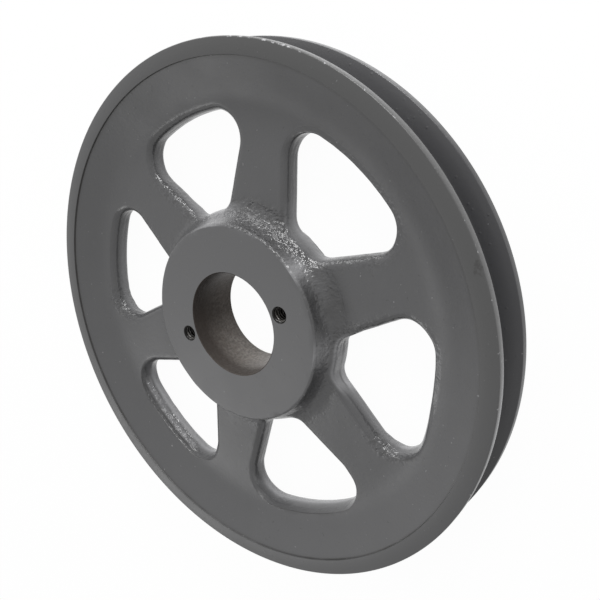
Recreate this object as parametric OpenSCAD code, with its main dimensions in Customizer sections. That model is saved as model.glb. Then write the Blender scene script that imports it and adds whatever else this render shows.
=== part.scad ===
// Single groove V-belt pulley, one iron casting.
// The bore axis is Z, the face with the large end of the bore is up,
// and the origin is on the axis in the middle plane of the belt groove.

/* [Rim] */
// Outside diameter over the two lands
rim_d = 209.55; // [180:0.05:260]
// Width of the rim across both faces
rim_w = 22.225; // [20:0.005:30]
// Bevel that breaks the outer edges of the rim
rim_bevel = 0.4; // [0.2:0.1:1]
// Width of the turned band on each rim face
face_band_w = 6.1; // [3:0.1:9]
// Step from the turned band down to the cast side of the rim
face_step = 0.7; // [0.2:0.1:1.5]
// Iron left under the bottom of the groove
rim_under = 6.3; // [5:0.1:10]
// Width of the blend on each side of the corner between the rim's cast side and the web
foot_blend = 0.7; // [0.3:0.1:1.5]

/* [Groove] */
// Width of the groove at the outside diameter
groove_w = 15.875; // [12:0.005:17]
// Angle between the two walls of the groove
groove_angle = 38; // [34:1:40]
// Depth of the groove from the outside diameter
groove_depth = 14.3; // [10:0.1:16]
// Radius in the bottom corners of the groove
groove_round = 1.2; // [0.5:0.1:2]
// Bevel at the top edges of the groove
groove_bevel = 0.3; // [0.1:0.1:0.8]

/* [Hub] */
// Outside diameter of the hub
hub_d = 79.375; // [65:0.005:95]
// Length of the hub, in the middle of the rim's width
hub_l = 22.225; // [20:0.005:34]
// Bevel on the outer edges of the hub faces
hub_bevel = 0.5; // [0.2:0.1:1.5]
// Radius where the hub runs out into the spokes
hub_fillet = 7.5; // [3:0.1:10]

/* [Bore] */
// Diameter of the tapered bore at its large end
bore_large_d = 41.275; // [30:0.005:46]
// Taper of the bore: change of diameter for each millimetre of length
bore_taper = 0.0625; // [0:0.0005:0.1]
// Bevel at both mouths of the bore
bore_bevel = 0.8; // [0.3:0.1:1.5]

/* [Bushing screws] */
// Diameter of the circle on which the tapped holes lie
screw_circle_d = 50.8; // [48:0.1:60]
// Number of tapped holes
screw_count = 2; // [2:1:3]
// Core diameter of the tapped holes
screw_core_d = 5.1; // [4:0.1:6]
// Diameter of the countersink at both ends of a tapped hole
screw_sink_d = 6.6; // [6.2:0.1:8]

/* [Web and spokes] */
// Thickness of the web
web_t = 9; // [7:0.1:12]
// Depth of the web below the front face of the rim
web_setback = 8.7; // [4:0.1:10]
// Number of spokes
spoke_count = 6; // [4:1:6]
// Width of a spoke at the hub end of the windows
spoke_hub_w = 28.4; // [20:0.1:32]
// Width of a spoke at the rim end of the windows
spoke_rim_w = 19.6; // [14:0.1:28]
// Ledge between the rim's foot and a window
rim_ledge = 3.7; // [3:0.1:8]
// Ledge between the hub and a window
hub_ledge = 3.8; // [3.2:0.1:8]
// Corner radius of a window next to the rim
rim_corner_r = 10; // [4:0.1:14]
// Corner radius of a window next to the hub
hub_corner_r = 6.5; // [3:0.1:9]
// Rounding of the window edges on both sides of the web
edge_round = 3.2; // [1:0.1:4]

/* [Hidden] */
$fn = 96;
casting_grey = "#5e6062";

// Rim
rim_r = rim_d / 2;
face_z = rim_w / 2;
band_r = rim_r - face_band_w;
band_z = face_z - face_step;
groove_r = rim_r - groove_depth;
groove_half_w = groove_w / 2;
groove_wall_tan = tan(groove_angle / 2);
groove_floor_half_w = groove_half_w - groove_depth * groove_wall_tan;
foot_r = groove_r - rim_under;

// Hub and bore
hub_r = hub_d / 2;
hub_z = hub_l / 2;
bore_large_r = bore_large_d / 2;
bore_small_r = bore_large_r - hub_l * bore_taper / 2;

// Web
web_front_z = face_z - web_setback;
web_rear_z = web_front_z - web_t;
front_slope = atan2(band_z - web_front_z, band_r - foot_r);
rear_slope = atan2(band_z + web_rear_z, band_r - foot_r);
cut_h = 2 * max(rim_w, hub_l);

// Rounded edges of the windows: radius, reach over the web and heights of the arcs' centres
edge_r = min(edge_round, 0.45 * web_t);
edge_reach = 0.8 * edge_r;
edge_front_z = web_front_z - edge_r;
edge_rear_z = web_rear_z + edge_r;
// Degrees by which the arc of an inner corner stops short of lying flat on its neighbours
patch_lift = 10;

// Window outline, about its own middle line along X
window_rim_r = foot_r - rim_ledge;
window_hub_r = hub_r + hub_ledge;
half_pitch = 180 / spoke_count;
side_taper = atan((spoke_hub_w - spoke_rim_w) / 2 / (window_rim_r - window_hub_r));
side_angle = half_pitch + side_taper;
// Distance of a window's side line from the axis, on the spoke's side of it
side_offset = spoke_hub_w / 2 * cos(side_taper) + window_hub_r * sin(side_taper);
side_sin = sin(side_angle);
rim_corner = min(rim_corner_r, 0.9 * (window_rim_r * side_sin - side_offset) / (1 + side_sin));
hub_corner = min(hub_corner_r, 0.9 * (window_hub_r * side_sin - side_offset) / (1 - side_sin));
rim_corner_dist = window_rim_r - rim_corner;
hub_corner_dist = window_hub_r + hub_corner;
rim_corner_angle = side_angle - asin((side_offset + rim_corner) / rim_corner_dist);
hub_corner_angle = side_angle - asin((side_offset + hub_corner) / hub_corner_dist);
// Where the side line starts and ends, measured along it from the axis
side_start = sqrt(hub_corner_dist ^ 2 - (side_offset + hub_corner) ^ 2);
side_end = sqrt(rim_corner_dist ^ 2 - (side_offset + rim_corner) ^ 2);
side_depth = 1.1 * max(rim_corner, hub_corner);
// How much larger a round corner is than the arc that would just touch its neighbours
corner_bite = 0.15;

function on_circle(r, a) = [r * cos(a), r * sin(a)];

// Patch that rounds an inner corner at p, between edges that leave it at angles a and b
module corner_patch(p, a, b, r) {
    half = (b - a) / 2;
    height = r * cos(patch_lift);
    run = height / tan(half);
    centre = p + on_circle(height / sin(half), a + half);
    difference() {
        polygon([p - on_circle(r / 3, a + half), p + on_circle(run, a), centre, p + on_circle(run, b)]);
        translate(centre) circle(r);
    }
}

// Radius where the hub runs out into the web, limited by the height of the hub there
module hub_patch(web_z) {
    corner_patch([hub_r, web_z], 0, 90, min(hub_fillet, 0.9 * (hub_z - web_z - hub_bevel)));
}

module groove_patches() {
    wall = groove_angle / 2;
    for (s = [0, 1])
        mirror([0, s])
            corner_patch([groove_r, groove_floor_half_w], -90, wall, groove_round);
}

// Section of the casting through the axis, turned parts and cast parts together
module casting_section() {
    groove_top_z = groove_half_w + groove_bevel;
    groove_edge_r = rim_r - groove_bevel;
    groove_edge_z = groove_half_w - groove_bevel * groove_wall_tan;
    polygon([
        [0, -hub_z],
        [hub_r - hub_bevel, -hub_z],
        [hub_r, hub_bevel - hub_z],
        [hub_r, web_rear_z],
        [foot_r - foot_blend, web_rear_z],
        [foot_r, web_rear_z] + on_circle(foot_blend, -rear_slope),
        [band_r, -band_z],
        [band_r, -face_z],
        [rim_r - rim_bevel, -face_z],
        [rim_r, rim_bevel - face_z],
        [rim_r, -groove_top_z],
        [groove_edge_r, -groove_edge_z],
        [groove_r, -groove_floor_half_w],
        [groove_r, groove_floor_half_w],
        [groove_edge_r, groove_edge_z],
        [rim_r, groove_top_z],
        [rim_r, face_z - rim_bevel],
        [rim_r - rim_bevel, face_z],
        [band_r, face_z],
        [band_r, band_z],
        [foot_r, web_front_z] + on_circle(foot_blend, front_slope),
        [foot_r - foot_blend, web_front_z],
        [hub_r, web_front_z],
        [hub_r, hub_z - hub_bevel],
        [hub_r - hub_bevel, hub_z],
        [0, hub_z]
    ]);
    hub_patch(web_front_z);
    mirror([0, 1]) hub_patch(-web_rear_z);
    groove_patches();
}

// Section across a window's edge: x = 0 is the wall, and the cut is open towards -x
module edge_section(depth) {
    difference() {
        translate([-depth, -cut_h / 2]) square([depth + edge_reach, cut_h]);
        translate([edge_r, edge_front_z]) circle(edge_r);
        translate([edge_r, edge_rear_z]) circle(edge_r);
        translate([0, edge_rear_z]) square([edge_r, edge_front_z - edge_rear_z]);
    }
}

// Arc of a window's edge about the axis, open towards the axis
module edge_arc(r, depth, half_sweep) {
    rotate(-half_sweep)
        rotate_extrude(angle = 2 * half_sweep)
            translate([r, 0]) edge_section(depth);
}

// Round corner of a window
module edge_corner(dist, angle, r) {
    corner_r = r + corner_bite;
    translate(on_circle(dist, angle))
        rotate_extrude()
            translate([corner_r, 0]) edge_section(corner_r);
}

// Upper half of a window's edge: one spoke side and the corners at its two ends
module window_side() {
    edge_corner(rim_corner_dist, rim_corner_angle, rim_corner);
    edge_corner(hub_corner_dist, hub_corner_angle, hub_corner);
    rotate(side_angle)
        translate([side_start, -side_offset, 0])
            rotate([90, 0, 90])
                linear_extrude(side_end - side_start) edge_section(side_depth);
}

// Middle of a window, reaching halfway into its rounded corners
module window_core() {
    rim_turn = (rim_corner_angle + side_angle + 90) / 2;
    hub_turn = (hub_corner_angle + side_angle + 270) / 2;
    rim_point = on_circle(rim_corner_dist, rim_corner_angle) + on_circle(rim_corner / 2, rim_turn);
    hub_point = on_circle(hub_corner_dist, hub_corner_angle) + on_circle(hub_corner / 2, hub_turn);
    translate([0, 0, -cut_h / 2])
        linear_extrude(cut_h)
            polygon([
                rim_point,
                hub_point,
                [hub_point.x, -hub_point.y],
                [rim_point.x, -rim_point.y]
            ]);
}

// Cutter for one window with rounded edges, lying along X
module window() {
    window_core();
    for (s = [0, 1])
        mirror([0, s, 0]) window_side();
    edge_arc(window_rim_r, 1.5 * rim_corner, rim_corner_angle);
    rotate(-hub_corner_angle)
        rotate_extrude(angle = 2 * hub_corner_angle)
            translate([window_hub_r, 0]) mirror([1, 0]) edge_section(1.5 * hub_corner);
}

// Bevel at a mouth of the bore, z = 0 in the hub face and running out past it
module bore_mouth(r) {
    translate([0, 0, -bore_bevel])
        cylinder(h = 2 * bore_bevel, r1 = r - bore_bevel, r2 = r + 3 * bore_bevel);
}

module bore() {
    spread = bore_bevel * bore_taper / 2;
    translate([0, 0, -hub_z - bore_bevel])
        cylinder(h = hub_l + 2 * bore_bevel, r1 = bore_small_r - spread, r2 = bore_large_r + spread);
    translate([0, 0, hub_z]) bore_mouth(bore_large_r);
    translate([0, 0, -hub_z]) mirror([0, 0, 1]) bore_mouth(bore_small_r);
}

module tapped_hole() {
    core_r = screw_core_d / 2;
    sink_r = screw_sink_d / 2;
    translate([0, 0, -hub_l]) cylinder(h = 2 * hub_l, r = core_r);
    for (s = [0, 1])
        mirror([0, 0, s])
            translate([0, 0, hub_z - sink_r]) cylinder(h = 2 * sink_r, r1 = 0, r2 = 2 * sink_r);
}

// The whole pulley: turned rim, groove, hub faces and bore on one spoked casting
module pulley_casting() {
    color(casting_grey)
        difference() {
            rotate_extrude() casting_section();
            for (i = [0 : spoke_count - 1])
                rotate((i + 0.5) * 360 / spoke_count) window();
            bore();
            for (i = [0 : screw_count - 1])
                rotate(i * 360 / screw_count)
                    translate([screw_circle_d / 2, 0, 0]) tapped_hole();
        }
}

pulley_casting();
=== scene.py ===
import math
import bpy
import bmesh
import numpy as np
from mathutils import Matrix, Vector
from mathutils.geometry import delaunay_2d_cdt


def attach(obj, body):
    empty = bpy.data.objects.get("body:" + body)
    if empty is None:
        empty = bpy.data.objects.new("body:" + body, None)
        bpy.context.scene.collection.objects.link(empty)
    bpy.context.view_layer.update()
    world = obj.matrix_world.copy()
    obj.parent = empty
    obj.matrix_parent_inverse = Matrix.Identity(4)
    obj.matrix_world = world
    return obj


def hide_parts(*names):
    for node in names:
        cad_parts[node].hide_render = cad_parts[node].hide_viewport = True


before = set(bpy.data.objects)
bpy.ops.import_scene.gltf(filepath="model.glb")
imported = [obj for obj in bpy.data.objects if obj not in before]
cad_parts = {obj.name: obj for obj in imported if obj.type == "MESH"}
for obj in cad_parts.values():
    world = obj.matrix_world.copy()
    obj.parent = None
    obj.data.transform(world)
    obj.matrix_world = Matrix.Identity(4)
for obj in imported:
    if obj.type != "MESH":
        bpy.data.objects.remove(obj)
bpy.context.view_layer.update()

mm = 0.001
scene = bpy.context.scene
scene.view_settings.view_transform = "Standard"

# camera: looks down on the pulley with a roll, as in the photograph
view = {
    "place": (-0.18867, -0.03085, 0.18831),  # metres, row frame
    "right": (-0.71036, 0.30875, -0.63251),
    "up": (-0.17395, -0.94779, -0.26729),
    "lens": 40.37, "sensor": 36, "shift": (0.06085, -0.0221), "nearest": 0.01,
}


def makeCamera():
    cam = bpy.data.objects.new("camera", bpy.data.cameras.new("camera"))
    right = Vector(view["right"]).normalized()
    back = right.cross(Vector(view["up"])).normalized()
    up = back.cross(right)
    turn = Matrix((right, up, back)).transposed().to_4x4()
    cam.matrix_world = Matrix.Translation(view["place"]) @ turn
    cam.data.lens = view["lens"]
    cam.data.sensor_width = view["sensor"]
    cam.data.shift_x, cam.data.shift_y = view["shift"]
    cam.data.clip_start = view["nearest"]
    scene.collection.objects.link(cam)
    scene.camera = cam


makeCamera()

# sizes of the casting, millimetres
cast = {
    "rimR": 104.775, "faceZ": 11.1125, "rimBevel": 0.4,
    "bandIn": 98.675, "bandStep": 0.7, "bandLean": 0.15, "bandRound": 0.2, "footR": 84.0, "footBlend": 2.4,
    "grooveHalf": 7.9375, "grooveTan": math.tan(math.radians(19)), "grooveFloorR": 90.475,
    "grooveRound": 1.2, "mouthRound": 0.3,
    "hubR": 39.6875, "hubFilletFront": 7.38, "hubFilletRear": 3.62, "hubBevel": 1.1, "hubSeam": 0.15,
    "boreFront": 20.6375, "boreRear": 19.943, "boreBevel": 0.35,
    "screwDist": 25.4, "screwMouth": 3.3, "screwCore": 2.55, "threadPitch": 1.27, "threadDepth": 0.42,
    "webFront": 2.4125, "webRear": -6.5875,
    "windowOut": 80.475, "windowIn": 43.4875, "cornerOut": 10.0, "cornerIn": 6.5, "edgeRound": 3.2,
    "spokeHub": 28.4, "spokeRim": 19.6, "spokes": 6,
}
segs = {"rim": 600, "hub": 300, "bore": 200, "screw": 40, "boreRows": 14, "threadRows": 96, "hubEdge": 7}
# millimetres between mesh points, finer on the front than on the rear
spacing = {"outline": 0.95, "webFront": 0.95, "webRear": 2.2, "hubFront": 1.3, "hubRear": 2.4, "rim": 2.4}


def softStep(x, a, b):
    t = np.clip((x - a) / (b - a), 0, 1)
    return t * t * (3 - 2 * t)


def between(x, a, b, c, d):                  # rises from a to b, falls from c to d
    return softStep(x, a, b) * (1 - softStep(x, c, d))


def bell(x, centre, width):
    return np.exp(-((x - centre) / width) ** 2)


def radiusOf(p):
    return np.hypot(p[:, 0], p[:, 1])


def degreesOf(p):
    return np.degrees(np.arctan2(p[:, 1], p[:, 0])) % 360


scatter = {"shift": 17.137, "x": 127.1, "y": 311.7, "z": 74.7, "seed": 5.3, "stretch": 43758.5453}


def lumps(p, size, seed):                    # smooth random bumps, -1 to 1, one every size mm
    q = p / size + seed * scatter["shift"]
    i = np.floor(q)
    f = q - i
    f = f * f * (3 - 2 * f)
    out = np.zeros(len(p))
    for dx in (0, 1):
        for dy in (0, 1):
            for dz in (0, 1):
                n = np.sin((i[:, 0] + dx) * scatter["x"] + (i[:, 1] + dy) * scatter["y"]
                           + (i[:, 2] + dz) * scatter["z"] + seed * scatter["seed"]) * scatter["stretch"]
                w = np.abs(1 - dx - f[:, 0]) * np.abs(1 - dy - f[:, 1]) * np.abs(1 - dz - f[:, 2])
                out += w * (2 * (n - np.floor(n)) - 1)
    return out


def hubRise(r, fillet):                      # height of the hub's radius above the web
    t = np.clip(cast["hubR"] + fillet - r, 0, fillet * 0.99999)
    return fillet - np.sqrt(fillet ** 2 - t ** 2)


def rimRise(r, top):                         # height of the rim's sloping cast side above the web
    w = cast["footBlend"]
    full = np.logaddexp(0, (cast["bandIn"] - cast["footR"]) / w)
    return top * np.logaddexp(0, (r - cast["footR"]) / w) / full


def frontHeight(r):
    top = cast["faceZ"] - cast["bandStep"] - cast["webFront"]
    return cast["webFront"] + hubRise(r, cast["hubFilletFront"]) + rimRise(r, top)


def rearHeight(r):
    top = cast["faceZ"] - cast["bandStep"] + cast["webRear"]
    return cast["webRear"] - hubRise(r, cast["hubFilletRear"]) - rimRise(r, top)


# outline of one window about +X, with the direction into the iron at each point
def windowOutline(step):
    ro, ri, co, ci = (cast[k] for k in ("windowOut", "windowIn", "cornerOut", "cornerIn"))
    taper = math.atan((cast["spokeHub"] - cast["spokeRim"]) / 2 / (ro - ri))
    side = math.pi / cast["spokes"] + taper
    off = cast["spokeHub"] / 2 * math.cos(taper) + ri * math.sin(taper)
    ao = side - math.asin((off + co) / (ro - co))
    ai = side - math.asin((off + ci) / (ri + ci))
    toSpoke = side + math.pi / 2
    unit = lambda a: np.column_stack([np.cos(a), np.sin(a)])
    span = lambda a, b, r: np.linspace(a, b, max(3, int(round(abs(b - a) * r / step)) + 1))
    rimMid, hubMid = (ro - co) * unit(np.array([ao])), (ri + ci) * unit(np.array([ai]))
    n = unit(np.array([toSpoke]))
    pa, pb = rimMid + co * n, hubMid + ci * n
    t = np.linspace(0, 1, max(3, int(np.linalg.norm(pb - pa) / step)))[:-1, None]
    rimArc, rimTurn = span(0, ao, ro)[:-1], span(ao, toSpoke, co)[:-1]
    hubTurn, hubArc = span(toSpoke, math.pi + ai, ci)[:-1], span(ai, 0, ri)
    parts = [(ro * unit(rimArc), unit(rimArc)),              # arc under the rim, from its middle
             (rimMid + co * unit(rimTurn), unit(rimTurn)),   # corner at the rim
             (pa + (pb - pa) * t, np.repeat(n, len(t), 0)),  # side of the spoke
             (hubMid + ci * unit(hubTurn), unit(hubTurn)),   # corner at the hub
             (ri * unit(hubArc), -unit(hubArc))]             # arc at the hub, to its middle
    half = [np.vstack(v) for v in zip(*parts)]
    return [np.vstack([v, v[-2:0:-1] * np.array([1, -1])]) for v in half]


def turned(p, angle):
    c, s = math.cos(angle), math.sin(angle)
    return p @ np.array([[c, s], [-s, c]])


def insideLoop(p, loop):
    x, y = p[:, 0], p[:, 1]
    hit = np.zeros(len(p), bool)
    for (x0, y0), (x1, y1) in zip(loop, np.roll(loop, -1, 0)):
        cross = (y0 > y) != (y1 > y)
        if y1 != y0:
            hit ^= cross & (x < (x1 - x0) * (y - y0) / (y1 - y0) + x0)
    return hit


# mesh of the casting, gathered strip by strip and welded at the end
store = {"pts": [], "faces": [], "finish": [], "count": 0}
finishes = {"paint": 0, "iron": 1, "thread": 2}


def addPoints(p):
    first = store["count"]
    store["pts"].append(np.asarray(p, float))
    store["count"] += len(p)
    return first


def addFaces(f, finish):
    store["faces"] += [tuple(int(i) for i in q) for q in f]
    store["finish"] += [finishes[finish]] * len(f)


def addStrip(rows, finish):                  # rows: closed loops of the same number of points
    rows = np.asarray(rows)
    m, n = rows.shape[:2]
    first = addPoints(rows.reshape(-1, 3))
    i, j = np.meshgrid(np.arange(m - 1), np.arange(n), indexing="ij")
    k = (j + 1) % n
    quads = np.stack([i * n + j, i * n + k, (i + 1) * n + k, (i + 1) * n + j], -1).reshape(-1, 4)
    addFaces(first + quads, finish)


def circle(r, n):
    a = np.arange(n) * 2 * math.pi / n
    return np.column_stack([r * np.cos(a), r * np.sin(a)])


def ring(r, z, n):
    return np.column_stack([circle(r, n), np.full(n, z)])


def addSheet(loops, fill, keep, height, finish):   # flat triangulation between loops, lifted by height
    pts, edges, first = [], [], 0
    for loop in loops:
        n = len(loop)
        pts.append(loop)
        edges += [(first + i, first + (i + 1) % n) for i in range(n)]
        first += n
    pts = np.vstack(pts + [fill])
    vert, _, tri, *_ = delaunay_2d_cdt([Vector(p) for p in pts], edges, [], 0, 1e-6)
    vert = np.array([tuple(v) for v in vert])
    tri = np.array([t for t in tri])
    tri = tri[keep(vert[tri].mean(1))]
    start = addPoints(np.column_stack([vert, height(vert)]))
    addFaces(start + tri, finish)


outline, intoIron = windowOutline(spacing["outline"])
outset = outline + cast["edgeRound"] * intoIron
pitch = 2 * math.pi / cast["spokes"]


def toSector(p):                             # turns points into the first window's own sector
    a = np.arctan2(p[:, 1], p[:, 0])
    b = a - np.floor(a / pitch) * pitch - pitch / 2
    r = radiusOf(p)
    return np.column_stack([r * np.cos(b), r * np.sin(b)])


def edgeGap(p, batch=4000):                  # distance of points outside the rounded window edge
    q = toSector(p)
    out = np.zeros(len(q))
    for s in range(0, len(q), batch):
        d = q[s:s + batch, None] - outset[None]
        out[s:s + batch] = np.sqrt((d ** 2).sum(2).min(1))
    return np.where(insideLoop(q, outset), -out, out)


def addWeb(height, gap):
    rIn, rOut = cast["hubR"] + cast["hubSeam"], cast["bandIn"]
    fill = []
    for r in np.arange(rIn + 0.6 * gap, rOut - 0.4 * gap, gap):
        n = int(round(2 * math.pi * r / gap))
        fill.append(circle(r, n) if len(fill) % 2 else turned(circle(r, n), math.pi / n))
    fill = np.vstack(fill)
    fill = fill[edgeGap(fill) > 0.5 * gap]
    loops = [circle(rOut, segs["rim"]), circle(rIn, segs["hub"])]
    loops += [turned(outset, (i + 0.5) * pitch) for i in range(cast["spokes"])]

    def keep(c):
        r = radiusOf(c)
        return (r > rIn) & (r < rOut) & ~insideLoop(toSector(c), outset)
    addSheet(loops, fill, keep, lambda v: height(radiusOf(v)), "paint")


addWeb(frontHeight, spacing["webFront"])
addWeb(rearHeight, spacing["webRear"])
print("web sheets", store["count"])


# window edges: a soft round along the spokes; under the rim a crisp lip with a leaning wall over one
# third of the wheel and a tight corner over the next; tight beside the hub in one window
windowEdge = {
    "rows": 13, "wallRows": 6, "drop": 5.4, "lip": 0.035, "curve": 1.35, "waist": 1.4,
    "tight": 0.8, "tightFlat": 0.4, "onArc": (70.0, 79.0), "offHub": (46.0, 53.0),
    "leanArc": (2, 14, 128, 150), "tightArc": (138, 156, 232, 250), "hubArc": (118, 130, 172, 186),  # degrees
}


def edgeShares(p):                           # share of the leaning wall and of the tight corner at each point
    a, r = degreesOf(p), radiusOf(p)
    onArc = softStep(r, *windowEdge["onArc"])
    atHub = between(a, *windowEdge["hubArc"]) * (1 - softStep(r, *windowEdge["offHub"]))
    return onArc * between(a, *windowEdge["leanArc"]), onArc * between(a, *windowEdge["tightArc"]) + atHub


def addWindows():
    rho, lip, small, level = cast["edgeRound"], windowEdge["lip"], windowEdge["tight"], windowEdge["tightFlat"]
    for i in range(cast["spokes"]):
        p, n = turned(outline, (i + 0.5) * pitch), turned(intoIron, (i + 0.5) * pitch)
        lean, tight = edgeShares(p)
        soft = 1 - lean - tight
        waist = lean * windowEdge["waist"]
        rows, back = [], []
        for u in np.linspace(0, 1, windowEdge["rows"]):
            t = u * math.pi / 2
            v = u ** windowEdge["curve"]
            turn = max(0.0, u - level) / (1 - level) * math.pi / 2
            flat = max(0.0, 1 - u / level)
            sag = v - lip * (1 - math.exp(-v / lip))
            out = (soft * rho * (1 - math.sin(t)) + lean * rho * (1 - v) + waist * v
                   + tight * (flat * (rho - small) + small * (1 - math.sin(turn))))
            down = (soft * rho * (1 - math.cos(t)) + lean * windowEdge["drop"] * sag
                    + tight * small * (1 - math.cos(turn)))
            q = p + n * out[:, None]
            rows.append(np.column_stack([q, frontHeight(radiusOf(q)) - down]))
            q = p + n * (waist + (rho - waist) * (1 - math.sin(t)))[:, None]
            back.append(np.column_stack([q, rearHeight(radiusOf(q)) + rho * (1 - math.cos(t))]))
        top, low = rows[-1][:, 2], back[-1][:, 2]
        q = p + n * waist[:, None]
        for u in np.linspace(0, 1, windowEdge["wallRows"] + 2)[1:-1]:
            rows.append(np.column_stack([q, top + (low - top) * u]))
        addStrip(rows + back[::-1], "paint")


addWindows()
print("window edges", store["count"])


def roundCorner(p, before, after, r, n=3):   # points of a rounded corner of a section
    p, a, b = (np.array(q, float) for q in (p, before, after))
    u, v = (a - p) / np.linalg.norm(a - p), (b - p) / np.linalg.norm(b - p)
    half = math.acos(np.clip(u @ v, -1, 1)) / 2
    run = r / math.tan(half)
    mid = (u + v) / np.linalg.norm(u + v)
    c = p + mid * r / math.sin(half)
    e0, e1 = p + u * run - c, p + v * run - c
    out = []
    for t in np.linspace(0, 1, n + 1):
        d = e0 * (1 - t) + e1 * t
        out.append(c + d / np.linalg.norm(d) * r)
    return out


def rimSection():                            # from the front cast side round the groove to the rear one
    rimR, faceZ, bandIn = cast["rimR"], cast["faceZ"], cast["bandIn"]
    mouth, floorR = cast["grooveHalf"], cast["grooveFloorR"]
    floorHalf = mouth - (rimR - floorR) * cast["grooveTan"]
    corners = [((bandIn, faceZ - cast["bandStep"]), 0), ((bandIn + cast["bandLean"], faceZ), cast["bandRound"]),
               ((rimR, faceZ), cast["rimBevel"]), ((rimR, mouth), cast["mouthRound"]),
               ((floorR, floorHalf), cast["grooveRound"])]
    corners += [((r, -z), c) for (r, z), c in corners[::-1]]
    out = []
    for k, (p, c) in enumerate(corners):
        if c == 0:
            out.append(np.array(p))
        else:
            out += roundCorner(p, corners[k - 1][0], corners[k + 1][0], c)
    dense = [out[0]]
    for a, b in zip(out, out[1:]):           # long straight runs get points in between
        n = max(1, int(np.linalg.norm(b - a) / spacing["rim"]))
        dense += [a + (b - a) * (s + 1) / n for s in range(n)]
    return dense


addStrip([ring(r, z, segs["rim"]) for r, z in rimSection()], "paint")


def addHub():
    faceZ, hubR, mouthR = cast["faceZ"], cast["hubR"], cast["screwMouth"]
    footR = hubR + cast["hubSeam"]
    screws = [np.array([s * cast["screwDist"], 0]) for s in (1, -1)]
    toScrew = lambda p: np.minimum(*[radiusOf(p - s) for s in screws])
    for z, height, bore, gap in ((faceZ, frontHeight, "boreFront", spacing["hubFront"]),
                                 (-faceZ, rearHeight, "boreRear", spacing["hubRear"])):
        foot = np.array([footR, float(height(np.array([footR]))[0])])
        section = roundCorner((hubR, z), (hubR - 5, z), (hubR, 0), cast["hubBevel"], segs["hubEdge"])
        low = section[-1]
        section += [low + (foot - low) * s for s in (0.33, 0.66)] + [foot]
        addStrip([ring(r, h, segs["hub"]) for r, h in section], "paint")
        rim, mouth = section[0][0], cast[bore] + cast["boreBevel"]
        rings = np.arange(mouth + gap, rim - 0.6 * gap, gap)
        fill = np.vstack([circle(r, int(2 * math.pi * r / gap)) for r in rings])
        fill = fill[toScrew(fill) > mouthR + 0.5 * gap]
        loops = [circle(rim, segs["hub"]), circle(mouth, segs["bore"])]
        loops += [circle(mouthR, segs["screw"]) + s for s in screws]

        def keep(c):                         # a little inside the screw holes counts, as their loops are polygons
            r = radiusOf(c)
            return (r > mouth) & (r < rim) & (toScrew(c) > mouthR * 0.996)
        addSheet(loops, fill, keep, lambda v: np.full(len(v), z), "paint")


addHub()


def addBore():
    faceZ, b = cast["faceZ"], cast["boreBevel"]
    r0, r1 = cast["boreFront"], cast["boreRear"]
    run = np.linspace(0, 1, segs["boreRows"])
    wall = [(r0 + (r1 - r0) * t, faceZ - b - (2 * faceZ - 2 * b) * t) for t in run]
    section = [(r0 + b, faceZ)] + wall + [(r1 + b, -faceZ)]
    addStrip([ring(r, z, segs["bore"]) for r, z in section], "iron")


addBore()


def addTappedHoles():                        # helical thread with a countersink at both mouths
    faceZ, n = cast["faceZ"], segs["screw"]
    core, deep, lead = cast["screwCore"], cast["threadDepth"], cast["threadPitch"]
    sink = cast["screwMouth"] - core
    a = np.arange(n) * 2 * math.pi / n
    for s in (1, -1):
        rows = []
        for z in np.linspace(faceZ, -faceZ, segs["threadRows"]):
            turn = (z / lead + a / (2 * math.pi)) % 1
            r = core + deep * np.abs(2 * turn - 1)
            mouth = core + max(0.0, sink - (faceZ - abs(z)))
            r = np.maximum(r, mouth) if abs(z) < faceZ else np.full(n, cast["screwMouth"])
            rows.append(np.column_stack([r * np.cos(a) + s * cast["screwDist"], r * np.sin(a), np.full(n, z)]))
        addStrip(rows, "thread")


addTappedHoles()
print("strips and sheets", store["count"], "points", len(store["faces"]), "faces")

weld = {"perMm": 2000, "reachMm": 0.002}     # first on a grid, then by distance


def buildCasting():
    pts = np.vstack(store["pts"])
    grid = np.round(pts * weld["perMm"]).astype(np.int64)
    _, first, where = np.unique(grid, axis=0, return_index=True, return_inverse=True)
    where = where.ravel()
    faces, finish = [], []
    for f, m in zip(store["faces"], store["finish"]):
        g = [where[i] for i in f]
        g = [i for k, i in enumerate(g) if i != g[k - 1]]
        if len(g) > 2:
            faces.append(g)
            finish.append(m)
    mesh = bpy.data.meshes.new("pulleyCasting")
    mesh.from_pydata((pts[first] * mm).tolist(), [], faces)
    mesh.polygons.foreach_set("material_index", finish)
    bm = bmesh.new()
    bm.from_mesh(mesh)
    bmesh.ops.remove_doubles(bm, verts=bm.verts, dist=weld["reachMm"] * mm)
    bmesh.ops.recalc_face_normals(bm, faces=bm.faces)
    openEdges = sum(1 for e in bm.edges if len(e.link_faces) != 2)
    bm.to_mesh(mesh)
    bm.free()
    triangles = sum(len(p.vertices) - 2 for p in mesh.polygons)
    print("welded", len(mesh.vertices), "points,", triangles, "triangles,", openEdges, "open edges")
    return mesh


castMesh = buildCasting()


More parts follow.
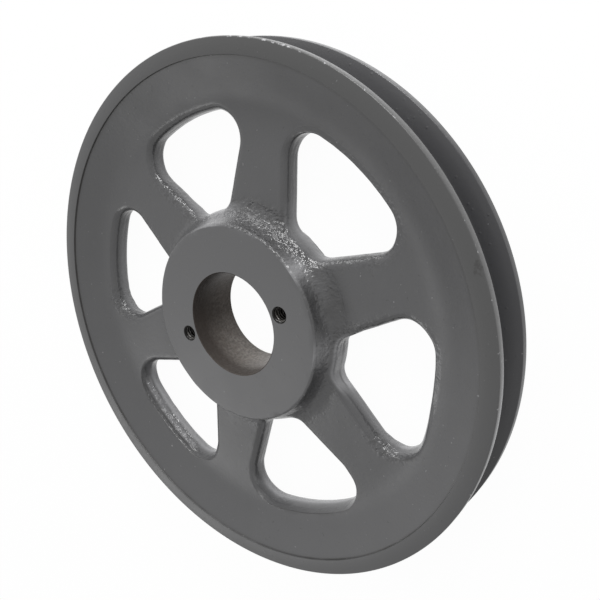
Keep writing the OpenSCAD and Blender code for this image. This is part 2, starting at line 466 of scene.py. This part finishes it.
# sand skin left by the mould: lumps by height and spacing, lengths in millimetres, angles in degrees
skin = {
    "wave": (0.05, 11.0), "dimple": (0.018, 2.6), "lump": (0.26, 3.3), "grit": (0.14, 1.8),
    "plain": 0.04, "edge": 0.06, "edgeGap": (-1.2, 2.2),                # roughness everywhere and at window edges
    "hub": 0.9, "hubLeast": 0.3, "hubSide": (236, 40), "hubReach": (45.0, 51.0),   # roughest on one side of the hub
    "patches": [(77, 40, 24, 0.35), (78, -16, 9, 1.0), (-45, 57, 9, 0.9),          # x, y, reach, strength
                (20, -54, 17, 0.7), (-47, 10, 12, 0.5), (-62, -11, 14, 0.5)],
    "patchGap": (-0.6, 3.0), "uneven": (0.8, 0.45, 7.0),
    "wallReach": (46.0, 57.0), "wallGap": (1.6, 2.9), "wallCalm": 0.8,             # smooth window walls at the hub
    "seamZ": -2.0, "seamWide": 0.5, "seamHigh": 0.16, "wander": (0.5, 6.0),        # parting line on the walls
    "flash": {"arc": (13, 17, 40, 44), "outside": 76, "low": -1.7, "high": 1.3,    # rough strip in one window
              "height": 0.55, "lumpMm": 1.7, "grooved": 0.3, "rough": 0.7},
}


def findPlaces(p):                           # where each point lies on the casting
    r, z = radiusOf(p), p[:, 2]
    high, hubR = np.abs(z), cast["hubR"]
    shoulder = (r > hubR - cast["hubBevel"] + 0.05) & (r < hubR + 0.2) & (high < cast["faceZ"] - 0.01)
    asCast = (r > hubR) & (r < cast["bandIn"] - 0.05) & (high < cast["faceZ"] - 0.55) | shoulder
    gap = np.full(len(p), 30.0)              # far from any window unless measured
    gap[asCast] = edgeGap(p[asCast, :2])
    hubWall = asCast * (1 - softStep(r, *skin["wallReach"])) * softStep(-gap, *skin["wallGap"])
    return {"p": p, "r": r, "z": z, "a": degreesOf(p), "gap": gap, "asCast": asCast, "hubWall": hubWall,
            "wander": skin["wander"][0] * lumps(p * [1, 1, 0], skin["wander"][1], 5)}


def findRough(at):
    p, a, gap = at["p"], at["a"], at["gap"]
    atEdge = 1 - softStep(gap, *skin["edgeGap"])
    wide = 1 - softStep(gap, *skin["patchGap"])
    around = skin["hub"] * (skin["hubLeast"] + (1 - skin["hubLeast"]) * bell(a, *skin["hubSide"]))
    around = around * (1 - softStep(at["r"], *skin["hubReach"])) * (1 - skin["wallCalm"] * at["hubWall"])
    rough = skin["plain"] + skin["edge"] * atEdge + around
    for x, y, reach, much in skin["patches"]:
        rough = rough + much * wide * np.exp(-((p[:, 0] - x) ** 2 + (p[:, 1] - y) ** 2) / reach ** 2)
    base, swing, size = skin["uneven"]
    return np.clip(rough * (base + swing * lumps(p, size, 9)), 0, 1) * at["asCast"]


def findFlash(at):                           # the strip itself, and the grooves along its two sides
    f = skin["flash"]
    along = between(at["a"], *f["arc"]) * (at["r"] > f["outside"]) * (at["gap"] < -0.2) * at["asCast"]
    across = (at["z"] + 0.3 * at["wander"] - f["low"]) / (f["high"] - f["low"])    # 0 to 1 over the strip
    return along * between(across, 0, 0.16, 0.84, 1), along * (bell(across, -0.08, 0.1) + bell(across, 1.08, 0.1))


# wear, colour, painted light and painted shade of the paint; angles in degrees, lengths in millimetres
wear = {
    # painted light: how much the flash strip and the window walls are lightened, as if lit from behind
    "stripLight": 0.36, "wallLight": 0.3, "hubWallLight": 0.15, "tightLight": 0.3, "tightDeepLight": 0.5,
    "rubbed": [(155, 7, 41.5, 0.35), (201, 6, 41.5, 0.55), (264, 11, 46.0, 0.45)],  # angle, width, out to r, strength
    # painted shade, in streaks, on the side of the hub that faces away from the light
    "hubSideShade": (175, 17), "hubSideShadeReach": (46.0, 53.0), "hubSideShadeDark": 0.32, "hubSideShadeMm": 2.6,
    # painted shadow under the window lips and in the grooves beside the flash strip, and a dark parting line on the
    # hub walls
    "lipShadow": (-0.09, 0.09), "lipShadowDark": 0.6, "stripGrooveShade": 0.5, "partedZ": -1.2, "partedDark": 0.6,
    # painted shadow along the turned step: strength by angle
    "stepShadowSide": [(0, 0.9), (30, 0.45), (60, 0.35), (85, 0.6), (100, 0.75), (115, 0.6),   # angle, strength
                 (135, 0.35), (155, 0), (230, 0), (260, 0.4), (300, 0.95), (360, 0.9)],
    "chips": [(236, 13, 0.8), (183, 7, 0.25)], "chipsLeast": 0.2,                   # angle, width, strength
    # painted highlights on the rim's lands: angle and width on the front land, and the angles where the lands are
    # paler
    "landHighlight": (151, 13), "frontLand": (200, 228), "rearLand": (195, 225, 250, 262), "landLeast": 0.35,
    "turnedShadeAt": 212, "turnedShadeLeast": 0.4,                                              # painted shade: the turned faces darker on one side
}


def findPaintedLightAndWear(at, strip, lean, tight):        # painted light on the window walls, the hub walls and the flash strip, a painted highlight on the front land, and paint rubbed thin beside the hub
    r, z, a, gap, asCast = (at[k] for k in ("r", "z", "a", "gap", "asCast"))
    # painted light on the leaning walls, strongest at their deep end
    deep = 0.25 * softStep(-gap, 0.7, 1.7) + 0.6 * softStep(-z, 1.2, 3.4)
    paintedLightAndWear = np.clip(wear["stripLight"] * strip + lean * deep * (gap < -0.5) * (1 - strip), 0, 1)
    paintedLightAndWear += wear["wallLight"] * asCast * softStep(-z, -0.5, 3.0) * softStep(-gap, 2.2, 3.1) * (1 - lean)
    atTight = wear["tightLight"] + wear["tightDeepLight"] * softStep(-z, 1.2, 2.6)
    paintedLightAndWear += at["hubWall"] * (wear["hubWallLight"] + tight * atTight)
    for angle, width, out, much in wear["rubbed"]:            # rubbed thin beside the hub, partly a painted highlight
        paintedLightAndWear += much * asCast * (z > 0) * bell(a, angle, width) * (1 - softStep(r, out - 0.8, out + 0.8))
    onLand = (r > cast["rimR"] - 0.25) * (z > 0)              # painted highlight on the front land at its groove side
    return paintedLightAndWear + 0.9 * at["toGroove"] * onLand * bell(a, *wear["landHighlight"])


def findShadeAndSeam(at, rims, lean, tight):         # painted shade on one side of the hub, under the window lips and in the grooves beside the flash strip; and a dark parting line
    parted = at["hubWall"] * tight * bell(at["z"] + 0.5 * at["wander"], wear["partedZ"], skin["seamWide"])
    # painted shade on that side of the hub
    hubSideShade = at["asCast"] * bell(at["a"], *wear["hubSideShade"]) * (1 - softStep(at["r"], *wear["hubSideShadeReach"]))
    streaks = 1 + 0.9 * lumps(at["p"] * [1, 0.5, 1], wear["hubSideShadeMm"], 10)
    hubSideShade = hubSideShade * (1 - at["hubWall"]) * wear["hubSideShadeDark"] * streaks
    # painted shadow under the lip of the leaning window walls
    lipShadow = wear["lipShadowDark"] * lean * bell(at["gap"], *wear["lipShadow"])
    # the grooves beside the flash strip take painted shade
    return np.clip(hubSideShade + wear["partedDark"] * parted + wear["stripGrooveShade"] * rims + lipShadow, 0, 1)


def roughen(mesh):                           # moves the skin and writes what the paint needs to know
    n = len(mesh.vertices)
    co, nor = np.zeros(n * 3), np.zeros(n * 3)
    mesh.vertices.foreach_get("co", co)
    mesh.vertex_normals.foreach_get("vector", nor)
    p, nor = co.reshape(-1, 3) / mm, nor.reshape(-1, 3)
    at = findPlaces(p)
    r, z, a, gap, asCast = (at[k] for k in ("r", "z", "a", "gap", "asCast"))
    at["toGroove"] = softStep(cast["faceZ"] - z, 0.5, 2.8)
    rough = findRough(at)
    layer = lambda key, seed: skin[key][0] * lumps(p, skin[key][1], seed)
    move = asCast * (layer("wave", 1) + layer("dimple", 2)) + rough * (layer("lump", 3) + layer("grit", 4))
    seam = asCast * softStep(-gap, 2.2, 3.0) * bell(z - at["wander"], skin["seamZ"], skin["seamWide"])
    move += seam * skin["seamHigh"] * np.clip(0.7 + lumps(p, 5.0, 6), 0, 2)
    strip, rims = findFlash(at)
    f = skin["flash"]
    move += strip * f["height"] * (0.6 + 1.1 * lumps(p, f["lumpMm"], 7)) - rims * f["grooved"]
    moved = p + nor * move[:, None]
    moved[:, 2] = np.clip(moved[:, 2], -cast["faceZ"], cast["faceZ"])   # the turned faces cut the lumps off
    mesh.vertices.foreach_set("co", (moved * mm).ravel())

    rough = np.clip(rough * (1 - 0.7 * strip) + f["rough"] * strip, 0, 1)
    wet = np.maximum(rough, 0.9 * asCast * softStep(-gap, 0.2, 1.2)) * (1 - 0.25 * strip)
    lean, tight = edgeShares(p)
    # the lands: worn, glossier, and paler on one side of the rim as a painted highlight
    least = wear["landLeast"]
    front = (least + (1 - least) * softStep(a, *wear["frontLand"])) * (0.4 + 0.6 * at["toGroove"])
    land = (r > cast["rimR"] - 0.2) * np.where(z > 0, front, between(a, *wear["rearLand"]))
    stepShadowSide = np.interp(a, *zip(*wear["stepShadowSide"])) + 0.3 * lumps(moved, 5.0, 8)      # painted shadow of the turned step, broken, and gone on one side
    worn = wear["chipsLeast"] + sum(much * bell(a, angle, width) for angle, width, much in wear["chips"])
    # painted shade: the turned faces take the darker turned colour most on one side
    turnedShade = softStep(np.cos(np.radians(a - wear["turnedShadeAt"])), 0.3, 0.9)
    turnedShade = wear["turnedShadeLeast"] + (1 - wear["turnedShadeLeast"]) * turnedShade
    inGroove = ~asCast & (r > cast["grooveFloorR"] - 0.3) & (z > 0.1 - cast["faceZ"]) & (z < cast["grooveHalf"] + 0.2)
    marks = {"castSkin": rough, "wetSkin": wet, "turnedTintAndShade": ~asCast * turnedShade, "hubFace": r < cast["hubR"],
             "stepShadowSide": np.clip(stepShadowSide, 0, 1), "paintedShadeAndSeam": findShadeAndSeam(at, rims, lean, tight),
             "paintedLightAndWear": findPaintedLightAndWear(at, strip, lean, tight), "worn": worn, "outerLand": land, "grooveWall": inGroove}
    for name, val in marks.items():
        mesh.attributes.new(name, "FLOAT", "POINT").data.foreach_set("value", np.asarray(val, np.float32))
    mesh.update()
    return list(marks)


markNames = roughen(castMesh)
sharpDegrees = 38
castMesh.polygons.foreach_set("use_smooth", [True] * len(castMesh.polygons))
castMesh.set_sharp_from_angle(angle=math.radians(sharpDegrees))
casting = bpy.data.objects.new("pulleyCasting", castMesh)
scene.collection.objects.link(casting)
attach(casting, "root")
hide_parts("pulley_casting")
print("casting in place")


def toLinear(code):
    v = [int(code[i:i + 2], 16) / 255 for i in (1, 3, 5)]
    return [c / 12.92 if c <= 0.04045 else ((c + 0.055) / 1.055) ** 2.4 for c in v] + [1.0]


def add(tree, kind, settings=None, **links):   # a node; inputs by name, or by number as i0, i1; gives its outputs
    node = tree.nodes.new(kind)
    for k, v in (settings or {}).items():
        setattr(node, k, v)
    for k, v in links.items():
        key = int(k[1:]) if k[0] == "i" and k[1:].isdigit() else k.replace("_", " ")
        if isinstance(v, bpy.types.NodeSocket):
            tree.links.new(v, node.inputs[key])
        else:
            node.inputs[key].default_value = v
    return node.outputs


def newMaterial(name):
    mat = bpy.data.materials.new(name)
    mat.use_nodes = True
    mat.node_tree.nodes.clear()
    return mat, mat.node_tree


# Satin machine enamel sprayed over sand-cast grey iron: an even neutral grey with a soft sheen,
# smooth on the turned faces, with wet-looking glints where the rough sand skin shows through.
enamel = {
    "grey": "#515152", "shade": "#49494a", "turned": "#454545", "hub": "#545455", "groove": "#333335",
    # the two last colours: a dark one for painted shade and dark marks, a pale one for painted light, chips and specks
    "line": "#2b2a29", "bareAndLit": "#a2a2a4",
    "cloudMm": 24.0, "chipMm": 1.6, "speckMm": 3.2,
    "grainMm": 1.5, "gritMm": 0.8,           # the sand is about 0.3 mm, drawn coarser so that it shows
    "detail": {"cloud": 4.0, "grain": 1.0, "grit": 2.0, "chip": 3.0},
    "satin": dict(From_Min=0.3, From_Max=0.7, To_Min=0.35, To_Max=0.44),            # roughness over the clouds
    "wet": 0.17, "land": 0.25, "ior": 1.5,
    "hollowShade": dict(From_Min=0.36, From_Max=0.5, To_Min=0.35, To_Max=0.0),           # painted shade in the hollows of the skin
    # the step line is a painted shadow along the turned step
    "stepOff": 0.02, "step": dict(From_Min=0.12 * mm, From_Max=0.42 * mm, To_Min=0.9, To_Max=0.0),
    "scuffAt": (-103.7, -2.0, 11.1),
    "scuffNear": dict(From_Min=0.4 * mm, From_Max=4.4 * mm, To_Min=0.34, To_Max=0.0),
    "scuff": dict(From_Min=0.7, From_Max=0.82, To_Min=0.0, To_Max=0.6),
    "dust": dict(From_Min=0.72, From_Max=0.76, To_Min=0.0, To_Max=0.45),            # a few stray pale specks
    "dirt": dict(From_Min=0.24, From_Max=0.28, To_Min=0.5, To_Max=0.0),             # and dark ones
    "landWornLit": 0.5, "chipWorn": 0.24,
    "chipNear": dict(From_Min=0.4 * mm, From_Max=1.1 * mm, To_Min=0.45, To_Max=0.0),
    "chip": dict(From_Min=1.17, From_Max=1.25),                                     # flakes off the rim's outer edges
    "skinBump": dict(To_Min=0.02, To_Max=0.9), "grainHigh": 1.1 * mm, "gritHigh": 0.3 * mm,
    "pit": dict(From_Max=0.16, To_Min=1.0, To_Max=0.0), "pitBump": 0.35, "pitHigh": 0.2 * mm,
}


def makeEnamel():
    mat, t = newMaterial("satinEnamelOnCastIron")
    place = add(t, "ShaderNodeTexCoord")["Object"]
    mark = {k: add(t, "ShaderNodeAttribute", {"attribute_name": k})["Fac"] for k in markNames}
    noise = {k: add(t, "ShaderNodeTexNoise", Vector=place, Scale=1000 / enamel[k + "Mm"], Detail=d)["Fac"]
             for k, d in enamel["detail"].items()}
    flake = noise["chip"]
    flat = add(t, "ShaderNodeVectorMath", {"operation": "MULTIPLY"}, i0=place, i1=(1.0, 1.0, 0.0))[0]
    radius = add(t, "ShaderNodeVectorMath", {"operation": "LENGTH"}, i0=flat)["Value"]
    height = add(t, "ShaderNodeSeparateXYZ", Vector=place)[2]

    # painted shade in the hollows of the skin, and a painted shadow line along the turned step
    hollowShade = add(t, "ShaderNodeMapRange", Value=noise["grain"], **enamel["hollowShade"])[0]
    hollowShade = add(t, "ShaderNodeMath", {"operation": "MULTIPLY"}, i0=hollowShade, i1=mark["castSkin"])[0]
    stepR = (cast["bandIn"] + enamel["stepOff"]) * mm
    step = add(t, "ShaderNodeMath", {"operation": "SUBTRACT"}, i0=radius, i1=stepR)[0]
    step = add(t, "ShaderNodeMath", {"operation": "ABSOLUTE"}, i0=step)[0]
    step = add(t, "ShaderNodeMapRange", Value=step, **enamel["step"])[0]
    step = add(t, "ShaderNodeMath", {"operation": "MULTIPLY"}, i0=step, i1=mark["stepShadowSide"])[0]

    # one scuff on the band, stray specks, and paint worn thin on the lands, paler on one side of the rim as a painted
    # highlight
    scuffAt = [v * mm for v in enamel["scuffAt"]]
    scuff = add(t, "ShaderNodeVectorMath", {"operation": "DISTANCE"}, i0=place, i1=scuffAt)["Value"]
    scuff = add(t, "ShaderNodeMapRange", Value=scuff, **enamel["scuffNear"])[0]
    scuff = add(t, "ShaderNodeMath", {"operation": "ADD"}, i0=scuff, i1=flake)[0]
    scuff = add(t, "ShaderNodeMapRange", Value=scuff, **enamel["scuff"])[0]
    dust = add(t, "ShaderNodeMapRange", Value=flake, **enamel["dust"])[0]
    dirt = add(t, "ShaderNodeMapRange", Value=flake, **enamel["dirt"])[0]
    landLitFlecks = add(t, "ShaderNodeMath", {"operation": "MULTIPLY"}, i0=flake, i1=enamel["landWornLit"])[0]
    landLitFlecks = add(t, "ShaderNodeMath", {"operation": "MULTIPLY"}, i0=mark["outerLand"], i1=landLitFlecks)[0]

    # chips, by the distance from the rim's outer edges
    inward = add(t, "ShaderNodeMath", {"operation": "SUBTRACT"}, i0=cast["rimR"] * mm, i1=radius)[0]
    below = add(t, "ShaderNodeMath", {"operation": "ABSOLUTE"}, i0=height)[0]
    below = add(t, "ShaderNodeMath", {"operation": "SUBTRACT"}, i0=cast["faceZ"] * mm, i1=below)[0]
    chip = add(t, "ShaderNodeMath", {"operation": "MAXIMUM"}, i0=inward, i1=below)[0]
    chip = add(t, "ShaderNodeMapRange", Value=chip, **enamel["chipNear"])[0]
    chip = add(t, "ShaderNodeMath", {"operation": "ADD"}, i0=flake, i1=chip)[0]
    chip = add(t, "ShaderNodeMath", {"operation": "MULTIPLY_ADD"}, i0=mark["worn"], i1=enamel["chipWorn"], i2=chip)[0]
    chip = add(t, "ShaderNodeMapRange", Value=chip, **enamel["chip"])[0]

    # colour layers, among them painted shade (the darker side of the turned faces, the hollows, the shade marks and
    # the step shadow) and painted light (pale lit walls and lit flecks on the lands)
    layers = [(noise["cloud"], "shade"), (mark["turnedTintAndShade"], "turned"), (mark["hubFace"], "hub"),
              (mark["grooveWall"], "groove"), (hollowShade, "line"), (mark["paintedLightAndWear"], "bareAndLit"), (mark["paintedShadeAndSeam"], "line"),
              (step, "line"), (scuff, "line"), (dust, "bareAndLit"), (dirt, "line"), (landLitFlecks, "bareAndLit"), (chip, "bareAndLit")]
    tint = toLinear(enamel["grey"])
    for mask, colour in layers:
        tint = add(t, "ShaderNodeMix", {"data_type": "RGBA"}, i0=mask, i6=tint, i7=toLinear(enamel[colour]))[2]

    gloss = add(t, "ShaderNodeMapRange", Value=noise["cloud"], **enamel["satin"])[0]
    for mask, end in ((mark["wetSkin"], "wet"), (mark["outerLand"], "land")):
        gloss = add(t, "ShaderNodeMix", i0=mask, i2=gloss, i3=enamel[end])[0]

    deep = add(t, "ShaderNodeMapRange", Value=mark["castSkin"], **enamel["skinBump"])[0]
    bump = add(t, "ShaderNodeBump", Strength=deep, Distance=enamel["grainHigh"], Height=noise["grain"])[0]
    bump = add(t, "ShaderNodeBump", Strength=deep, Distance=enamel["gritHigh"], Height=noise["grit"], Normal=bump)[0]
    speck = add(t, "ShaderNodeTexVoronoi", Vector=place, Scale=1000 / enamel["speckMm"])["Distance"]
    pit = add(t, "ShaderNodeMapRange", Value=speck, **enamel["pit"])[0]               # stray grains under the paint
    bump = add(t, "ShaderNodeBump", Strength=enamel["pitBump"], Distance=enamel["pitHigh"], Height=pit, Normal=bump)[0]
    shader = add(t, "ShaderNodeBsdfPrincipled", Base_Color=tint, Roughness=gloss, IOR=enamel["ior"], Normal=bump)[0]
    add(t, "ShaderNodeOutputMaterial", Surface=shader)
    return mat


# Turned grey iron, unpainted in the bore: a dull brownish metal with fine rings, with painted shade
# that darkens one side and the part towards the front mouth, so that little of it looks metallic.
iron = {
    "metal": "#a09a94", "dark": "#736e6a", "bloom": "#7d736b", "darkShade": "#322d2a",
    "roughness": 0.32, "metallic": 0.2,
    "ringMm": 0.9, "ringDrawn": (0.06, 0.06, 1.0), "ringBump": 0.3, "ringHigh": 0.1 * mm,   # turned at about 0.2 mm, drawn coarser
    "bloomMm": 2.2, "grainMm": 1.0, "grainBump": 0.5, "grainHigh": 0.3 * mm,
    "pores": dict(From_Min=0.32, From_Max=0.66),
    "rusty": dict(From_Min=0.42, From_Max=0.7, To_Min=0.0, To_Max=0.6),
    "shadeFrom": (0.1, 0.99, 0.0),
    "shadedSide": dict(From_Min=-2 * mm, From_Max=19 * mm, To_Min=0.72, To_Max=0.0),
    "sheen": dict(From_Min=-2 * mm, From_Max=19 * mm, To_Min=0.06, To_Max=0.5),     # dull where it is dark
    # painted shade towards the front mouth
    "front": dict(From_Min=(cast["faceZ"] - 17) * mm, From_Max=(cast["faceZ"] - 5) * mm, To_Min=0.0, To_Max=0.88),
    "frontSheen": 0.05,
}


def makeIron():
    mat, t = newMaterial("turnedBareIron")
    place = add(t, "ShaderNodeTexCoord")["Object"]
    bloom = add(t, "ShaderNodeTexNoise", Vector=place, Scale=1000 / iron["bloomMm"], Detail=6.0, Roughness=0.7)["Fac"]
    grain = add(t, "ShaderNodeTexNoise", Vector=place, Scale=1000 / iron["grainMm"], Detail=3.0)["Fac"]
    drawn = add(t, "ShaderNodeMapping", Vector=place, Scale=iron["ringDrawn"])[0]      # drawn out round the bore
    rings = add(t, "ShaderNodeTexNoise", Vector=drawn, Scale=1000 / iron["ringMm"], Detail=2.0)["Fac"]
    side = add(t, "ShaderNodeVectorMath", {"operation": "DOT_PRODUCT"}, i0=place, i1=iron["shadeFrom"])["Value"]
    height = add(t, "ShaderNodeSeparateXYZ", Vector=place)[2]
    pores = add(t, "ShaderNodeMapRange", Value=grain, **iron["pores"])[0]
    rusty = add(t, "ShaderNodeMapRange", Value=bloom, **iron["rusty"])[0]
    # painted shade on one side of the bore
    shadedSide = add(t, "ShaderNodeMapRange", Value=side, **iron["shadedSide"])[0]
    front = add(t, "ShaderNodeMapRange", Value=height, **iron["front"])[0]
    tone = toLinear(iron["dark"])
    for mask, colour in ((pores, "metal"), (rusty, "bloom"), (shadedSide, "darkShade"), (front, "darkShade")):
        tone = add(t, "ShaderNodeMix", {"data_type": "RGBA"}, i0=mask, i6=tone, i7=toLinear(iron[colour]))[2]
    sheen = add(t, "ShaderNodeMapRange", Value=side, **iron["sheen"])[0]
    sheen = add(t, "ShaderNodeMix", i0=front, i2=sheen, i3=iron["frontSheen"])[0]
    bump = add(t, "ShaderNodeBump", Strength=iron["ringBump"], Distance=iron["ringHigh"], Height=rings)[0]
    bump = add(t, "ShaderNodeBump", Strength=iron["grainBump"], Distance=iron["grainHigh"], Height=grain, Normal=bump)[0]
    shader = add(t, "ShaderNodeBsdfPrincipled", Base_Color=tone, Metallic=iron["metallic"],
                 Roughness=iron["roughness"], Specular_IOR_Level=sheen, Normal=bump)[0]
    add(t, "ShaderNodeOutputMaterial", Surface=shader)
    return mat


# Tapped thread in grey iron: black in the roots, cutting oil with painted shade of the deep hole, and lighter cut
# crests that are partly a painted highlight.
thread = {
    "crest": "#a29f9b", "darkShade": "#151413", "roughness": 0.3, "metallic": 0.25, "sheen": 0.2, "stainMm": 1.2,
    "crestFade": dict(From_Min=cast["screwCore"] * mm, From_Max=(cast["screwCore"] + 0.6 * cast["threadDepth"]) * mm,
                      To_Min=1.35, To_Max=0.0),
}


def makeThread():
    mat, t = newMaterial("tappedIron")
    place = add(t, "ShaderNodeTexCoord")["Object"]
    stain = add(t, "ShaderNodeTexNoise", Vector=place, Scale=1000 / thread["stainMm"], Detail=3.0)["Fac"]
    toAxis = (cast["screwDist"] * mm, 0.0, 0.0)              # how far a point is from its hole's axis
    off = add(t, "ShaderNodeVectorMath", {"operation": "ABSOLUTE"}, i0=place)[0]
    off = add(t, "ShaderNodeVectorMath", {"operation": "SUBTRACT"}, i0=off, i1=toAxis)[0]
    off = add(t, "ShaderNodeVectorMath", {"operation": "MULTIPLY"}, i0=off, i1=(1.0, 1.0, 0.0))[0]
    off = add(t, "ShaderNodeVectorMath", {"operation": "LENGTH"}, i0=off)["Value"]
    # lighter crests, partly a painted highlight
    crest = add(t, "ShaderNodeMapRange", Value=off, **thread["crestFade"])[0]
    crest = add(t, "ShaderNodeMath", {"operation": "MULTIPLY"}, i0=crest, i1=stain)[0]
    darkShade, bright = toLinear(thread["darkShade"]), toLinear(thread["crest"])
    tone = add(t, "ShaderNodeMix", {"data_type": "RGBA"}, i0=crest, i6=darkShade, i7=bright)[2]
    shader = add(t, "ShaderNodeBsdfPrincipled", Base_Color=tone, Metallic=thread["metallic"],
                 Roughness=thread["roughness"], Specular_IOR_Level=thread["sheen"])[0]
    add(t, "ShaderNodeOutputMaterial", Surface=shader)
    return mat


for make in (makeEnamel, makeIron, makeThread):
    castMesh.materials.append(make())
print("finishes done")

# Studio: white paper floor and white surroundings that light the top of the picture more than its foot, a
# softbox at the left of the picture and two low ones, at its upper right and beyond its top. Sizes in metres.
studio = {
    "floorZ": -0.0111125, "floorSize": 6.0, "white": "#ffffff", "keep": 0.97,      # the rest of the floor takes shadow
    "world": dict(From_Min=-1.0, From_Max=1.0, To_Min=0.27, To_Max=0.86), "bright": (0.05, -0.98, 0.1),
    "lamps": [("key", (0.91, 0.36, 0.68), (0.36, 0.36), 1.0),                      # name, place, size, watts
              ("back", (-0.36, -0.48, 0.22), (0.3, 0.18), 2.7),
              ("top", (0.12, -0.76, 0.20), (0.5, 0.25), 1.7)],
}


def seesBackground(t):                       # rays that see the background as plain white
    ray = add(t, "ShaderNodeLightPath")
    seen = ray["Is Camera Ray"]
    for kind in ("Is Transmission Ray", "Is Glossy Ray"):
        seen = add(t, "ShaderNodeMath", {"operation": "MAXIMUM"}, i0=seen, i1=ray[kind])[0]
    return seen


def makeFloor():
    mesh = bpy.data.meshes.new("floor")
    h, z = studio["floorSize"] / 2, studio["floorZ"]
    mesh.from_pydata([(-h, -h, z), (h, -h, z), (h, h, z), (-h, h, z)], [], [(0, 1, 2, 3)])
    floor = bpy.data.objects.new("floor", mesh)
    scene.collection.objects.link(floor)
    mat, t = newMaterial("paperWhite")
    seen = add(t, "ShaderNodeMath", {"operation": "MULTIPLY"}, i0=seesBackground(t), i1=studio["keep"])[0]
    paper = add(t, "ShaderNodeBsdfDiffuse", Color=toLinear(studio["white"]))[0]
    glow = add(t, "ShaderNodeEmission", Color=toLinear(studio["white"]), Strength=1.0)[0]
    both = add(t, "ShaderNodeMixShader", i0=seen, i1=paper, i2=glow)[0]
    add(t, "ShaderNodeOutputMaterial", Surface=both)
    mesh.materials.append(mat)


def makeLight():
    scene.world = bpy.data.worlds.new("studio")
    scene.world.use_nodes = True
    t = scene.world.node_tree
    t.nodes.clear()
    way = add(t, "ShaderNodeTexCoord")["Generated"]
    lean = add(t, "ShaderNodeVectorMath", {"operation": "DOT_PRODUCT"}, i0=way, i1=studio["bright"])["Value"]
    level = add(t, "ShaderNodeMapRange", Value=lean, **studio["world"])[0]
    level = add(t, "ShaderNodeMix", i0=seesBackground(t), i2=level, i3=1.0)[0]
    sky = add(t, "ShaderNodeBackground", Color=toLinear(studio["white"]), Strength=level)[0]
    add(t, "ShaderNodeOutputWorld", Surface=sky)
    for name, place, size, power in studio["lamps"]:
        lamp = bpy.data.lights.new(name, "AREA")
        lamp.shape = "RECTANGLE"
        lamp.size, lamp.size_y = size
        lamp.energy = power
        obj = bpy.data.objects.new(name, lamp)
        obj.location = place
        obj.rotation_euler = (-Vector(place)).to_track_quat("-Z", "Y").to_euler()
        scene.collection.objects.link(obj)


makeFloor()
makeLight()
print("studio done")
